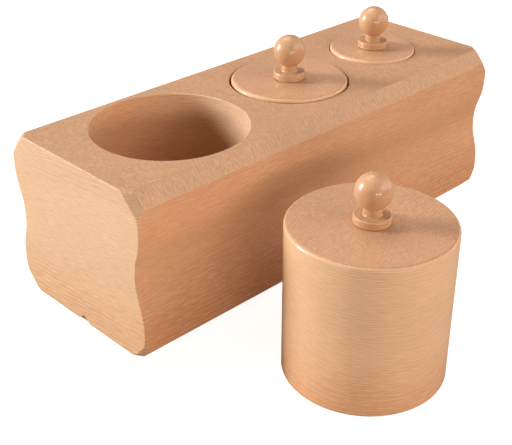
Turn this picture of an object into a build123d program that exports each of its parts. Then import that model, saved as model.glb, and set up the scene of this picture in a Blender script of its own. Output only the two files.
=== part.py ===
from build123d import *
import os

# A knobbed cylinder block in beech: a long block with three round sockets, and three
# cylinders of falling width that lift out of them by turned knobs.
# The widest cylinder is out of its socket and stands beside the block on the same surface.
# X runs along the block, Y across it and Z up. The origin is on that surface, under the
# middle of the whole set.

# The cylinders
large_diameter = 95.5
middle_diameter = 78.0
small_diameter = 60.8
cylinder_proud = 2.0
cylinder_rim_radius = 1.8
cylinder_rim_step = 0.4
cylinder_foot_radius = 1.5

# The sockets, how loosely each holds its cylinder, and the wood left around them
socket_depth = 93.5
large_socket_play = 1.5
middle_socket_play = 1.5
small_socket_play = 0.5
socket_rim_radius = 0.6
socket_floor = 16.5
large_end_wall = 25.25
large_to_middle_wall = 15.0
middle_to_small_wall = 14.6
small_end_wall = 25.85
waist_wall = 6.5

# The block's waved long sides, with a bevel along the top and bottom of each
wave_depth = 5.7
foot_land = 9.0
shoulder_land = 7.0
bevel_width = 8.5
bevel_drop = 8.5
foot_bevel = 8.0
bevel_arris_radius = 1.2
end_edge_radius = 1.0

# The block's cut corners: how far each cut reaches along, across and up or down the block
top_corner_cut = (10.0, 14.0, 15.5)
foot_corner_cut = (8.0, 12.0, 14.0)
top_corner_blend_radius = 3.0
foot_corner_blend_radius = 5.0

# The groove along the underside
groove_width = 13.0
groove_depth = 5.0

# The knobs, all three alike
knob_ball_diameter = 21.2
knob_ball_rise = 18.7
knob_neck_diameter = 10.6
knob_flange_diameter = 21.2
knob_flange_thickness = 5.0
knob_flange_edge_radius = 1.0
knob_neck_fillet_radius = 0.5
tenon_diameter = 10.0
tenon_length = 18.0
tenon_tip_bevel = 1.0
glue_gap = 0.1
glue_pocket = 1.0

# Where the widest cylinder stands, clear of the block's side
standing_gap = 38.5
standing_offset = -69.4

# Lengths that follow from the sizes above
cutter_overrun = 1.0
cylinder_diameters = (large_diameter, middle_diameter, small_diameter)
socket_plays = (large_socket_play, middle_socket_play, small_socket_play)
socket_radii = [diameter / 2 + play for diameter, play in zip(cylinder_diameters, socket_plays)]
walls = (large_end_wall, large_to_middle_wall, middle_to_small_wall, small_end_wall)
cylinder_height = socket_depth + cylinder_proud
block_height = socket_floor + socket_depth
block_length = sum(walls) + 2 * sum(socket_radii)
half_width = max(socket_radii) + waist_wall + wave_depth
foot_crest_height = foot_corner_cut[2] + foot_land
shoulder_crest_drop = top_corner_cut[2] + shoulder_land
beside_block = standing_gap + large_diameter
block_place = Pos(0, beside_block / 2, 0)
upright = (Align.CENTER, Align.CENTER, Align.MIN)


def socket_places():
    """The X of each socket's axis, counted from the block's middle."""
    places = []
    edge = -block_length / 2
    for wall, radius in zip(walls, socket_radii):
        places.append(edge + wall + radius)
        edge += wall + 2 * radius
    return places


def block_section():
    """The block's cross-section: a flat top and bottom between two waved sides."""
    crest_low = (half_width, foot_crest_height)
    crest_high = (half_width, block_height - shoulder_crest_drop)
    rise = crest_high[1] - crest_low[1]
    bend_low = (half_width - wave_depth / 2, crest_low[1] + rise / 4)
    bend_high = (half_width - wave_depth / 2, crest_high[1] - rise / 4)
    waist = (half_width - wave_depth, crest_low[1] + rise / 2)
    with BuildSketch(Plane.YZ) as section:
        with BuildLine():
            foot_bevel_start = (half_width - foot_bevel, 0)
            foot_bevel_end = (half_width, foot_bevel)
            Polyline((0, 0), foot_bevel_start, foot_bevel_end, crest_low)
            TangentArc(crest_low, bend_low, tangent=(0, 1))
            ThreePointArc(bend_low, waist, bend_high)
            TangentArc(crest_high, bend_high, tangent=(0, -1))
            bevel_start = (half_width, block_height - bevel_drop)
            bevel_end = (half_width - bevel_width, block_height)
            Polyline(crest_high, bevel_start, bevel_end, (0, block_height))
            mirror(about=Plane.YZ)
        make_face()
    return section.sketch


def circles_of(shape):
    """The shape's level round edges."""
    return shape.edges().filter_by(GeomType.CIRCLE).filter_by(Plane.XY)


def same(length, other):
    """True where two lengths agree to three decimals."""
    return round(length - other, 3) == 0


def corner_cutter(side):
    """A box whose one face cuts off the corner on that side, and that face's direction."""
    along, across, down = top_corner_cut if side.Z > 0 else foot_corner_cut
    height = block_height if side.Z > 0 else 0
    corner = Vector(side.X * block_length / 2, side.Y * half_width, height)
    outward = Vector(side.X / along, side.Y / across, side.Z / down)
    face = Plane(origin=corner - Vector(side.X * along, 0, 0), z_dir=outward)
    size = 2 * (along + across + down)
    return face * Box(size, size, size, align=upright), outward


def facing(faces, outward):
    """The face that looks most nearly in a direction."""
    return faces.sort_by(lambda face: face.normal_at().dot(outward))[-1]


def end_edges_of(body):
    """The edges of the block's two flat ends."""
    ends = body.faces().sort_by(Axis.X)
    return ends[0].edges() + ends[-1].edges()


def with_soft_corners(body, outwards, radius):
    """The body with the edges of those cut corners rounded, except along its flat ends."""
    facets = ShapeList(facing(body.faces(), outward) for outward in outwards)
    return fillet(facets.edges() - end_edges_of(body), radius)


def make_block():
    body = extrude(block_section(), block_length / 2, both=True)
    corners = [Vector(x, y, z) for x in (-1, 1) for y in (-1, 1) for z in (-1, 1)]
    cutters = [corner_cutter(side) for side in corners]
    for cutter, outward in cutters:
        body -= cutter
    top_outwards = [outward for cutter, outward in cutters if outward.Z > 0]
    foot_outwards = [outward for cutter, outward in cutters if outward.Z < 0]
    body = with_soft_corners(body, top_outwards, top_corner_blend_radius)
    body = with_soft_corners(body, foot_outwards, foot_corner_blend_radius)
    body = fillet(end_edges_of(body), end_edge_radius)
    long_edges = body.edges().filter_by(Axis.X)
    bevel_arrises = long_edges.filter_by_position(Axis.Z, block_height - bevel_drop, block_height)
    body = fillet(bevel_arrises, bevel_arris_radius)

    for x, radius in zip(socket_places(), socket_radii):
        socket = Cylinder(radius, socket_depth + cutter_overrun, align=upright)
        body -= Pos(x, 0, socket_floor) * socket
    mouths = circles_of(body).filter_by(lambda edge: same(edge.center().Z, block_height))
    body = fillet(mouths, socket_rim_radius)

    groove = Plane.YZ * make_face(
        Polyline((-groove_width / 2, 0), (0, groove_depth), (groove_width / 2, 0), close=True)
    )
    return body - extrude(groove, block_length / 2 + cutter_overrun, both=True)


def make_cylinder(radius):
    """A turned cylinder standing on Z = 0, bored in the top for its knob's tenon."""
    shoulder = cylinder_height - cylinder_rim_step
    body = Cylinder(radius, shoulder, align=upright)
    body = fillet(circles_of(body).sort_by(Axis.Z)[-1], cylinder_rim_radius)
    body = fillet(circles_of(body).sort_by(Axis.Z)[0], cylinder_foot_radius)
    top = Cylinder(radius - cylinder_rim_radius, cylinder_rim_step, align=upright)
    body += Pos(0, 0, shoulder) * top
    bore_depth = tenon_length + glue_pocket
    bore = Cylinder(tenon_diameter / 2 + glue_gap, bore_depth + cutter_overrun, align=upright)
    return body - Pos(0, 0, cylinder_height - bore_depth) * bore


def make_knob():
    """A ball, neck, flange and tenon turned in one, with the flange's underside on Z = 0."""
    ball_radius = knob_ball_diameter / 2
    neck_radius = knob_neck_diameter / 2
    flange_radius = knob_flange_diameter / 2
    tenon_radius = tenon_diameter / 2
    neck_top = knob_ball_rise - (ball_radius**2 - neck_radius**2) ** 0.5
    with BuildPart() as knob:
        with BuildSketch(Plane.XZ):
            with BuildLine():
                Polyline(
                    (0, knob_ball_rise + ball_radius),
                    (0, -tenon_length),
                    (tenon_radius - tenon_tip_bevel, -tenon_length),
                    (tenon_radius, -tenon_length + tenon_tip_bevel),
                    (tenon_radius, 0),
                    (flange_radius, 0),
                    (flange_radius, knob_flange_thickness),
                    (neck_radius, knob_flange_thickness),
                    (neck_radius, neck_top),
                )
                ThreePointArc(
                    (neck_radius, neck_top),
                    (ball_radius, knob_ball_rise),
                    (0, knob_ball_rise + ball_radius),
                )
            make_face()
        revolve(axis=Axis.Z)
        fillet(
            circles_of(knob).filter_by(lambda edge: same(edge.radius, flange_radius)),
            knob_flange_edge_radius,
        )
        fillet(
            circles_of(knob).filter_by(lambda edge: same(edge.radius, neck_radius)),
            knob_neck_fillet_radius,
        )
    return knob.part


def cylinder_places():
    """Where each cylinder stands: the widest beside the block, the others in their sockets."""
    beside = -(half_width + standing_gap + large_diameter / 2)
    places = [block_place * Pos(standing_offset, beside, 0)]
    for x in socket_places()[1:]:
        places.append(block_place * Pos(x, 0, socket_floor))
    return places


os.makedirs("parts", exist_ok=True)
export_step(block_place * make_block(), "parts/block.step")
cylinder_names = ("large_cylinder", "middle_cylinder", "small_cylinder")
for name, diameter, place in zip(cylinder_names, cylinder_diameters, cylinder_places()):
    export_step(place * make_cylinder(diameter / 2), f"parts/{name}.step")
    export_step(place * Pos(0, 0, cylinder_height) * make_knob(), f"parts/{name}_knob.step")
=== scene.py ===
import math

import bpy
from mathutils import Euler, Matrix, Vector

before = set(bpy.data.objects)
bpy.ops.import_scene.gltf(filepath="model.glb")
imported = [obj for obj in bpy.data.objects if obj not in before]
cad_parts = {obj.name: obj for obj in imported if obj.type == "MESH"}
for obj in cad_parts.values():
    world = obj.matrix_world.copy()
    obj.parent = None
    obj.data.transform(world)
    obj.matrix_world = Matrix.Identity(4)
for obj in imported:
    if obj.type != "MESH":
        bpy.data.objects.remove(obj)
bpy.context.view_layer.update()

# Block
# One solid beech block. Its fibres run across it and dip towards the back, and its growth
# layers lie almost flat, so the long sides show end grain. It has a thin satin lacquer.
block_fibre = Vector((0.0, 0.995, -0.10))
block_layers_up = Vector((0.015, 0.10, 0.995))
block_shift = (0.0, 0.0, 0.0)
block_wood = {
    "Flat Color": (0.560, 0.340, 0.195, 1.0),
    "Quarter Color": (0.692, 0.470, 0.294, 1.0),
    "End Color": (0.632, 0.345, 0.182, 1.0),
    "Slant Color": (0.612, 0.380, 0.227, 1.0),
    "Heart Tint": (0.99, 0.95, 0.91, 1.0),
    "Heart Height": 38.0,
    "Grain": 0.85,
    "Slant Grain": 0.70,
    "Roughness": 0.55,
}
block_lacquer = {"Coat Weight": 0.03, "Coat Roughness": 0.30}
wood_gloss = 0.3
MILLIMETRES = 1000.0

# Beech has dark marks of three kinds: fine broken lines where its layers come out on upright
# faces, flecks on faces sawn flat, and coarser flecks on faces cut aslant. Each kind is even
# lines that sway, broken up by dashes. Lengths are in millimetres, and a size is how far a
# spot reaches across the fibres, along them and up through the layers.
side_lines = {
    "spacing": 1.5,
    "sway_size": (16.0, 24.0, 5.0),
    "sway": 2.0,
    "dash_size": (6.0, 9.0, 0.6),
    "evenness": 0.35,
    "limits": (0.48, 0.92),
}
flat_flecks = {
    "spacing": 1.25,
    "sway_size": (5.0, 12.0, 12.0),
    "sway": 1.3,
    "dash_size": (0.8, 3.6, 3.6),
    "evenness": 0.40,
    "limits": (0.545, 0.885),
}
slant_flecks = {
    "spacing": 1.7,
    "sway_size": (5.0, 12.0, 12.0),
    "sway": 4.0,
    "dash_size": (0.55, 3.2, 3.2),
    "evenness": 0.25,
    "limits": (0.50, 0.78),
}
line_strength = 0.63
heart_line_gain = 0.42

# Upright faces also show wider rings, in zones and near the tree's heart.
ring_spacing = 3.2
ring_sway_size = (50.0, 80.0, 14.0)
ring_sway = 5.0
ring_limits = (0.55, 1.0)
ring_zone_size = (150.0, 200.0, 24.0)
ring_zone_limits = (0.45, 0.65)
zone_ring_strength = 0.45
heart_ring_strength = 0.75

# The layers bend, the heart's colour fades upwards, and the tone varies in wide patches. A
# mark darkens the wood, and is a little rougher and lower than the rest.
bend_size = (90.0, 140.0, 60.0)
bend_height = 6.0
heart_fade = 25.0
patch_size = (45.0, 80.0, 30.0)
patch_detail = 2.0
patch_tone = 0.94
patch_gain = 0.16
mark_tint = (0.75, 0.59, 0.50, 1.0)
mark_roughness = 0.12
mark_depth = 0.00003
noise_roughness = 0.6

# How far a face must look up through the layers, as a squared share of its facing, to lose
# the marks of an upright face and to gain those of a slanting and a flat one
upright_loss = (0.10, 0.45)
slant_gain = (0.14, 0.30)
flat_gain = (0.72, 0.95)


def add_node(tree, kind, inputs=None, **settings):
    """A shader node with its settings made and its inputs set, or joined to other outputs."""
    node = tree.nodes.new(kind)
    for name, value in settings.items():
        setattr(node, name, value)
    for name, value in (inputs or {}).items():
        if isinstance(value, bpy.types.NodeSocket):
            tree.links.new(value, node.inputs[name])
        else:
            node.inputs[name].default_value = value
    return node


def math_node(tree, operation, first, second):
    return add_node(tree, "ShaderNodeMath", {0: first, 1: second}, operation=operation).outputs[0]


def stretched_noise(tree, position, size, detail=1.0):
    """Noise whose spots are as long along each of the wood's three directions as size says."""
    scale = tuple(1.0 / length for length in size)
    mapped = add_node(tree, "ShaderNodeMapping", {"Vector": position, "Scale": scale}).outputs[0]
    inputs = {"Vector": mapped, "Scale": 1.0, "Detail": detail, "Roughness": noise_roughness}
    return add_node(tree, "ShaderNodeTexNoise", inputs).outputs[0]


def ramp_between(tree, value, low, high):
    """0 below low, 1 above high, and smooth between."""
    inputs = {"Value": value, "From Min": low, "From Max": high}
    ramp = add_node(tree, "ShaderNodeMapRange", inputs, interpolation_type="SMOOTHSTEP")
    return ramp.outputs[0]


def mix_colors(tree, share, first, second, blend="MIX"):
    """Two colours mixed, by the share of the second."""
    inputs = {0: share, 6: first, 7: second}
    mix = add_node(tree, "ShaderNodeMix", inputs, data_type="RGBA", blend_type=blend)
    return mix.outputs[2]


def make_beech_group():
    """Beech, from a place and a facing in the wood's own directions: across, along and up."""
    tree = bpy.data.node_groups.new("Beech", "ShaderNodeTree")
    colors = ("Flat Color", "Quarter Color", "End Color", "Slant Color", "Heart Tint")
    numbers = ("Heart Height", "Grain", "Slant Grain", "Roughness")
    for in_out, kind, names in (
        ("INPUT", "NodeSocketVector", ("Place", "Facing")),
        ("INPUT", "NodeSocketColor", colors),
        ("INPUT", "NodeSocketFloat", numbers),
        ("OUTPUT", "NodeSocketColor", ("Color",)),
        ("OUTPUT", "NodeSocketFloat", ("Roughness", "Height")),
    ):
        for name in names:
            tree.interface.new_socket(name, in_out=in_out, socket_type=kind)
    given = tree.nodes.new("NodeGroupInput").outputs
    place = given["Place"]

    def product(first, second):
        return math_node(tree, "MULTIPLY", first, second)

    def total(first, second):
        return math_node(tree, "ADD", first, second)

    def larger(first, second):
        return math_node(tree, "MAXIMUM", first, second)

    def rest_of(share):
        return math_node(tree, "SUBTRACT", 1.0, share)

    def tinted(color, tint):
        return mix_colors(tree, 1.0, color, tint, "MULTIPLY")

    def added(first, second):
        return mix_colors(tree, 1.0, first, second, "ADD")

    def swaying_lines(position, spacing, sway_size, sway):
        """Lines at an even spacing that sway from side to side: 1 in their middle, 0 between."""
        swayed = total(position, product(stretched_noise(tree, place, sway_size), sway))
        turned = {0: product(swayed, math.tau / spacing)}
        wave = add_node(tree, "ShaderNodeMath", turned, operation="SINE").outputs[0]
        return total(product(wave, 0.5), 0.5)

    def broken_lines(position, spacing, sway_size, sway, dash_size, evenness, limits):
        """Marks that lie partly on even lines and partly where the dashes fall."""
        lines = swaying_lines(position, spacing, sway_size, sway)
        dashes = stretched_noise(tree, place, dash_size)
        return ramp_between(tree, total(product(lines, evenness), dashes), *limits)

    # The place across the fibres, and up through layers that bend gently
    place_parts = add_node(tree, "ShaderNodeSeparateXYZ", {0: place}).outputs
    across_fibres = place_parts["X"]
    bend = product(stretched_noise(tree, place, bend_size), bend_height)
    layer_height = total(place_parts["Z"], bend)

    # The lowest layers lie nearer the tree's heart: redder, with clearer lines and rings
    above_heart = math_node(tree, "SUBTRACT", layer_height, given["Heart Height"])
    heart = rest_of(ramp_between(tree, above_heart, -heart_fade, heart_fade))

    # How much the surface shows of the layers' edges, of the fibres' ends and of a layer's face
    squared = {0: given["Facing"], 1: given["Facing"]}
    shares = add_node(tree, "ShaderNodeVectorMath", squared, operation="MULTIPLY").outputs[0]
    across, along, up = add_node(tree, "ShaderNodeSeparateXYZ", {0: shares}).outputs
    upright = rest_of(ramp_between(tree, up, *upright_loss))
    flat_sawn = ramp_between(tree, up, *flat_gain)
    slant = math_node(tree, "SUBTRACT", ramp_between(tree, up, *slant_gain), flat_sawn)

    # The marks: lines and rings on upright faces, and flecks on the others
    lines = broken_lines(layer_height, **side_lines)
    lines = product(lines, total(product(heart, heart_line_gain), line_strength))
    zones = ramp_between(tree, stretched_noise(tree, place, ring_zone_size), *ring_zone_limits)
    near_heart = product(heart, heart_ring_strength)
    ring_strength = larger(product(zones, zone_ring_strength), near_heart)
    rings = swaying_lines(layer_height, ring_spacing, ring_sway_size, ring_sway)
    rings = product(ramp_between(tree, rings, *ring_limits), ring_strength)
    on_upright = product(larger(lines, rings), upright)
    on_flat = product(broken_lines(across_fibres, **flat_flecks), flat_sawn)
    slant_strength = product(slant, given["Slant Grain"])
    on_slant = product(broken_lines(across_fibres, **slant_flecks), slant_strength)
    marks = product(larger(on_upright, larger(on_flat, on_slant)), given["Grain"])

    # The colour: the three faces' colours by how much of each shows, then patches, the heart
    # and the marks
    flat_color = tinted(given["Flat Color"], up)
    quarter_color = tinted(given["Quarter Color"], across)
    end_color = tinted(given["End Color"], along)
    color = added(added(flat_color, quarter_color), end_color)
    color = mix_colors(tree, slant, color, given["Slant Color"])
    patches = stretched_noise(tree, place, patch_size, patch_detail)
    color = tinted(color, total(product(patches, patch_gain), patch_tone))
    heart_share = product(heart, upright)
    color = mix_colors(tree, heart_share, color, tinted(color, given["Heart Tint"]))
    color = mix_colors(tree, marks, color, tinted(color, mark_tint))
    outputs = {
        "Color": color,
        "Roughness": total(given["Roughness"], product(marks, mark_roughness)),
        "Height": rest_of(marks),
    }
    add_node(tree, "NodeGroupOutput", outputs)
    return tree


beech = make_beech_group()


def turn_to_wood(fibre, layers_up):
    """The turn from the object's directions to the wood's: across, along and up."""
    along = fibre.normalized()
    across = along.cross(layers_up).normalized()
    return Matrix((across, along, across.cross(along))).to_euler()


def beech_material(name, fibre, layers_up, shift, wood, lacquer):
    """Lacquered beech, cut at its own angle and from its own place in the tree."""
    material = bpy.data.materials.new(name)
    material.use_nodes = True
    tree = material.node_tree
    tree.nodes.clear()
    coordinates = add_node(tree, "ShaderNodeTexCoord").outputs
    to_place = {
        "Vector": coordinates["Object"],
        "Location": shift,
        "Rotation": turn_to_wood(fibre, layers_up),
        "Scale": (MILLIMETRES, MILLIMETRES, MILLIMETRES),
    }
    level_turn = turn_to_wood(Vector((fibre.x, fibre.y, 0.0)), Vector((0.0, 0.0, 1.0)))
    to_facing = {"Vector": coordinates["Normal"], "Rotation": level_turn}
    to_group = {
        **wood,
        "Place": add_node(tree, "ShaderNodeMapping", to_place).outputs[0],
        "Facing": add_node(tree, "ShaderNodeMapping", to_facing, vector_type="VECTOR").outputs[0],
        "Heart Height": wood["Heart Height"] + shift[2],
    }
    cut = add_node(tree, "ShaderNodeGroup", to_group, node_tree=beech).outputs
    to_bump = {"Height": cut["Height"], "Distance": mark_depth}
    to_shader = {
        "Base Color": cut["Color"],
        "Roughness": cut["Roughness"],
        "Normal": add_node(tree, "ShaderNodeBump", to_bump).outputs[0],
        "Specular IOR Level": wood_gloss,
        **lacquer,
    }
    shader = add_node(tree, "ShaderNodeBsdfPrincipled", to_shader)
    add_node(tree, "ShaderNodeOutputMaterial", {"Surface": shader.outputs[0]})
    return material


def finish_node(node, fibre, layers_up, shift, wood, lacquer):
    """Gives a CAD piece its own beech in every slot."""
    material = beech_material(node + "_beech", fibre, layers_up, shift, wood, lacquer)
    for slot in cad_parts[node].material_slots:
        slot.material = material


finish_node("block", block_fibre, block_layers_up, block_shift, block_wood, block_lacquer)

# Cylinders
# Three cylinders turned from beech laid crosswise, so the layers show as level rings round
# the side. They have a thicker and smoother lacquer than the block.
cylinder_wood = {
    "Flat Color": (0.608, 0.353, 0.199, 1.0),
    "Quarter Color": (0.728, 0.472, 0.278, 1.0),
    "End Color": (0.728, 0.467, 0.271, 1.0),
    "Slant Color": (0.690, 0.430, 0.245, 1.0),
    "Heart Tint": (0.98, 0.855, 0.78, 1.0),
    "Heart Height": 30.0,
    "Grain": 0.70,
    "Slant Grain": 0.30,
    "Roughness": 0.48,
}
cylinder_lacquer = {"Coat Weight": 0.40, "Coat Roughness": 0.09}
cylinder_layers_up = Vector((0.03, -0.04, 1.0))
cylinder_fibre_rise = 0.02


def fibre_towards(degrees, rise):
    """The fibres' direction, turned that far round from X and rising that much."""
    angle = math.radians(degrees)
    return Vector((math.cos(angle), math.sin(angle), rise))


for node, fibre_angle, shift in (
    ("large_cylinder", 14.0, (10.0, 40.0, 3.0)),
    ("middle_cylinder", 16.0, (90.0, -30.0, 47.0)),
    ("small_cylinder", 12.0, (-60.0, 120.0, -35.0)),
):
    fibre = fibre_towards(fibre_angle, cylinder_fibre_rise)
    finish_node(node, fibre, cylinder_layers_up, shift, cylinder_wood, cylinder_lacquer)

# Knobs
# Three knobs turned in one piece from beech, each with its ball, neck, flange and tenon, and
# glued in. They have the smoothest finish.
knob_wood = {
    "Flat Color": (0.578, 0.330, 0.174, 1.0),
    "Quarter Color": (0.604, 0.362, 0.198, 1.0),
    "End Color": (0.552, 0.296, 0.150, 1.0),
    "Slant Color": (0.590, 0.341, 0.186, 1.0),
    "Heart Tint": (1.0, 1.0, 1.0, 1.0),
    "Heart Height": 0.0,
    "Grain": 0.60,
    "Slant Grain": 0.35,
    "Roughness": 0.38,
}
knob_lacquer = {"Coat Weight": 0.35, "Coat Roughness": 0.09}
knob_layers_up = Vector((0.25, 0.1, 1.0))
knob_fibre_rise = 0.15
for node, fibre_angle, shift in (
    ("large_cylinder_knob", 40.0, (5.0, 25.0, 8.0)),
    ("middle_cylinder_knob", 100.0, (-44.0, 61.0, -17.0)),
    ("small_cylinder_knob", 70.0, (73.0, -12.0, 29.0)),
):
    fibre = fibre_towards(fibre_angle, knob_fibre_rise)
    finish_node(node, fibre, knob_layers_up, shift, knob_wood, knob_lacquer)

# Floor
# A pale floor under the set, which the camera sees as white with the set's soft shadow on it.
# A brown sheet lies on it under the block and glows for the camera: painted shade, so the
# groove's end looks dark and not white.
floor_reach = 6.0
floor_paint = (0.50, 0.44, 0.38, 1.0)
floor_glow = (0.88, 0.88, 0.88, 1.0)
far_floor_glow = (1.0, 1.0, 1.0, 1.0)
far_floor_from = 0.5
far_floor_to = 1.5
# Painted shade: the brown sheet under the block glows for the camera in place of the shade inside
# the groove's end.
painted_shade_low_corner = (-0.1595, 0.020)
painted_shade_high_corner = (0.1595, 0.114)
painted_shade_height = 0.0001
painted_shade_glow = (0.22, 0.11, 0.06, 1.0)


def add_floor(name, low_corner, high_corner, height, near_glow):
    """A level sheet that glows by itself only where the camera sees it, and whiter far off."""
    (left, front), (right, back) = low_corner, high_corner
    corners = ((left, front), (right, front), (right, back), (left, back))
    mesh = bpy.data.meshes.new(name)
    mesh.from_pydata([(x, y, height) for x, y in corners], [], [range(len(corners))])
    sheet = bpy.data.objects.new(name, mesh)
    bpy.context.scene.collection.objects.link(sheet)
    material = bpy.data.materials.new(name)
    material.use_nodes = True
    tree = material.node_tree
    tree.nodes.clear()
    place = add_node(tree, "ShaderNodeTexCoord").outputs["Object"]
    length = add_node(tree, "ShaderNodeVectorMath", {0: place}, operation="LENGTH")
    far_off = ramp_between(tree, length.outputs["Value"], far_floor_from, far_floor_to)
    glow = mix_colors(tree, far_off, near_glow, far_floor_glow)
    seen = add_node(tree, "ShaderNodeLightPath").outputs["Is Camera Ray"]
    shine = add_node(tree, "ShaderNodeEmission", {"Color": glow, "Strength": seen}).outputs[0]
    paint = add_node(tree, "ShaderNodeBsdfDiffuse", {"Color": floor_paint}).outputs[0]
    both = add_node(tree, "ShaderNodeAddShader", {0: paint, 1: shine}).outputs[0]
    add_node(tree, "ShaderNodeOutputMaterial", {"Surface": both})
    mesh.materials.append(material)


add_floor("floor", (-floor_reach, -floor_reach), (floor_reach, floor_reach), 0.0, floor_glow)
# The brown sheet under the block is painted shade, glowing the way the shaded groove's end looks.
add_floor("painted_shade_under_block", painted_shade_low_corner, painted_shade_high_corner, painted_shade_height, painted_shade_glow)

# Light
# The main soft box stands low on the left, a little behind the set. A low window and panels in
# front and on the right fill its shade, and others behind and above light the tops. A white
# surround is seen by the camera and, weakly, in the lacquer.
light_aim = Vector((0.0, 0.0, 0.06))
lamp_distance = 3.0
white = (1.0, 1.0, 1.0)
warm = (1.0, 0.90, 0.84)
mild = (1.0, 0.93, 0.92)


def add_lamp(name, azimuth, elevation, width, height, power, color):
    """A rectangular lamp that faces the set from that direction."""
    light = bpy.data.lights.new(name, "AREA")
    light.shape = "RECTANGLE"
    light.size = width
    light.size_y = height
    light.energy = power
    light.color = color
    lamp = bpy.data.objects.new(name, light)
    turn, rise = math.radians(azimuth), math.radians(elevation)
    level = math.cos(rise)
    away = Vector((math.cos(turn) * level, math.sin(turn) * level, math.sin(rise)))
    lamp.location = light_aim + away * lamp_distance
    lamp.rotation_euler = away.to_track_quat("Z", "Y").to_euler()
    bpy.context.scene.collection.objects.link(lamp)


# Each lamp's direction round from X and up in degrees, its width and height in metres, its
# power in watts and its colour
add_lamp("key", 128.0, 17.0, 0.85, 1.1, 124.0, white)
add_lamp("front_window", -116.0, 8.5, 1.8, 0.5, 38.0, warm)
add_lamp("front_panel", -82.0, 30.0, 2.0, 1.6, 22.0, warm)
add_lamp("right_panel", -60.0, 36.0, 2.4, 1.7, 27.0, mild)
add_lamp("low_right_panel", -25.0, 11.0, 1.6, 1.0, 14.0, warm)
add_lamp("back_panel", 72.0, 58.0, 1.9, 1.5, 42.0, warm)
add_lamp("top_panel", 0.0, 89.9, 2.6, 2.6, 12.5, white)

surround_gloss = 0.3
world = bpy.data.worlds.new("surround")
world.use_nodes = True
tree = world.node_tree
tree.nodes.clear()
seen = add_node(tree, "ShaderNodeLightPath").outputs
reflected = math_node(tree, "MULTIPLY", seen["Is Glossy Ray"], surround_gloss)
strength = math_node(tree, "ADD", reflected, seen["Is Camera Ray"])
to_background = {"Color": (*white, 1.0), "Strength": strength}
background = add_node(tree, "ShaderNodeBackground", to_background)
add_node(tree, "ShaderNodeOutputWorld", {"Surface": background.outputs[0]})
bpy.context.scene.world = world
bpy.context.scene.view_settings.view_transform = "Standard"

# Camera
# It stands off the corner between the block's near end and the large cylinder, and looks down
# across the set. The frame's width and the focal length are in the photograph's pixels.
camera_place = (-0.4462, -0.3789, 0.3680)
camera_turn = 45.82
camera_dip = 29.81
frame_width = 512.0
focal_length = 1020.0
camera_data = bpy.data.cameras.new("camera")
camera_data.lens = focal_length / frame_width * camera_data.sensor_width
camera = bpy.data.objects.new("camera", camera_data)
camera.location = camera_place
tilt = math.radians(90.0 - camera_dip)
camera.rotation_euler = Euler((tilt, 0.0, math.radians(camera_turn - 90.0)))
bpy.context.scene.collection.objects.link(camera)
bpy.context.scene.camera = camera
